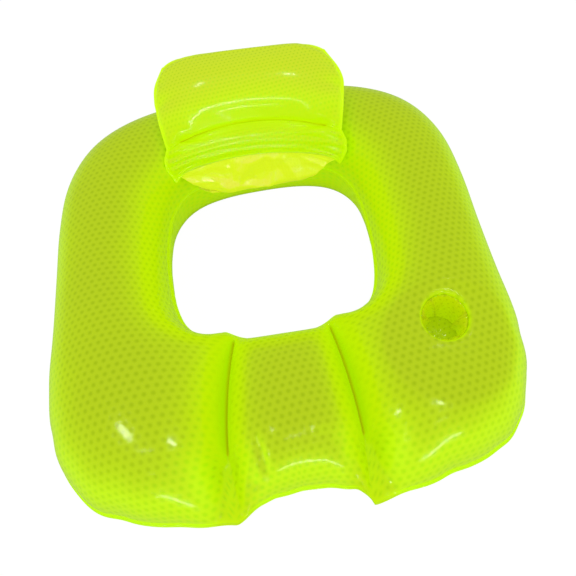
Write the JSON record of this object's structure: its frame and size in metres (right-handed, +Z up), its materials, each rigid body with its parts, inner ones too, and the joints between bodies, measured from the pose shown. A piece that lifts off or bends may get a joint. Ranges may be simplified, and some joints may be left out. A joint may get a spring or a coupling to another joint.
{
  "type": "inflatable water hammock",
  "caption": "Ring-shaped inflatable water lounge with a leg-rest bridge, a cup well in the right arm, a folding two-lobed headrest and two push-in valves.",
  "frame": {"origin": "middle of the footprint, on the surface that the ring lies on", "axes": "+Z up, +Y towards the headrest, +X towards the arm with the cup well"},
  "size_m": [0.9692, 1.049, 0.3592],
  "materials": {
    "lime_film": "glossy neon lime PVC film with a small printed dot lattice",
    "pale_film": "single film of the same PVC, paler because light passes through it",
    "valve_vinyl": "soft moulded vinyl",
    "plug_vinyl": "soft moulded vinyl"
  },
  "bodies": {
    "ring": {"ring_top_sheet": "lime_film", "ring_bottom_sheet": "lime_film", "cup_liner": "lime_film", "cup_floor": "lime_film", "neck_flap": "pale_film", "ring_valve_flange": "valve_vinyl"},
    "headrest": {"headrest_web": "pale_film", "headrest_front_sheet": "lime_film", "headrest_back_sheet": "lime_film", "headrest_valve_flange": "valve_vinyl"},
    "ring_valve_stem": {"ring_valve_stem": "valve_vinyl", "ring_valve_strap": "plug_vinyl"},
    "ring_valve_plug": {"ring_valve_plug": "plug_vinyl"},
    "ring_valve_flap": {"ring_valve_check_flap": "plug_vinyl"},
    "headrest_valve_stem": {"headrest_valve_stem": "valve_vinyl", "headrest_valve_strap": "plug_vinyl"},
    "headrest_valve_plug": {"headrest_valve_plug": "plug_vinyl"},
    "headrest_valve_flap": {"headrest_valve_check_flap": "plug_vinyl"}
  },
  "joints": [
    {"name": "headrest_fold", "type": "hinge", "parent": "ring", "child": "headrest", "pos_m": [0, 0.2365, 0.1253], "axis": [1, 0, 0], "range_deg": [0, 100]},
    {"name": "ring_valve_pull_out", "type": "slide", "parent": "ring", "child": "ring_valve_stem", "axis": [0.0123, 0.7877, 0.6159], "range_m": [0, 0.01]},
    {"name": "ring_valve_unplug", "type": "slide", "parent": "ring_valve_stem", "child": "ring_valve_plug", "axis": [0.0123, 0.7877, 0.6159], "range_m": [0, 0.01]},
    {"name": "ring_valve_flap_swing", "type": "hinge", "parent": "ring_valve_stem", "child": "ring_valve_flap", "pos_m": [0.02235, 0.46956, 0.19353], "axis": [0, 0.616, -0.7878], "range_deg": [0, 60], "stiffness_Nm_per_rad": 0.0001},
    {"name": "headrest_valve_pull_out", "type": "slide", "parent": "headrest", "child": "headrest_valve_stem", "axis": [0.2372, 0.6082, -0.7575], "range_m": [0, 0.01]},
    {"name": "headrest_valve_unplug", "type": "slide", "parent": "headrest_valve_stem", "child": "headrest_valve_plug", "axis": [0.2372, 0.6082, -0.7575], "range_m": [0, 0.01]},
    {"name": "headrest_valve_flap_swing", "type": "hinge", "parent": "headrest_valve_stem", "child": "headrest_valve_flap", "pos_m": [0.10194, 0.45074, 0.28205], "axis": [0, -0.7798, -0.6261], "range_deg": [0, 60], "stiffness_Nm_per_rad": 0.0001}
  ]
}
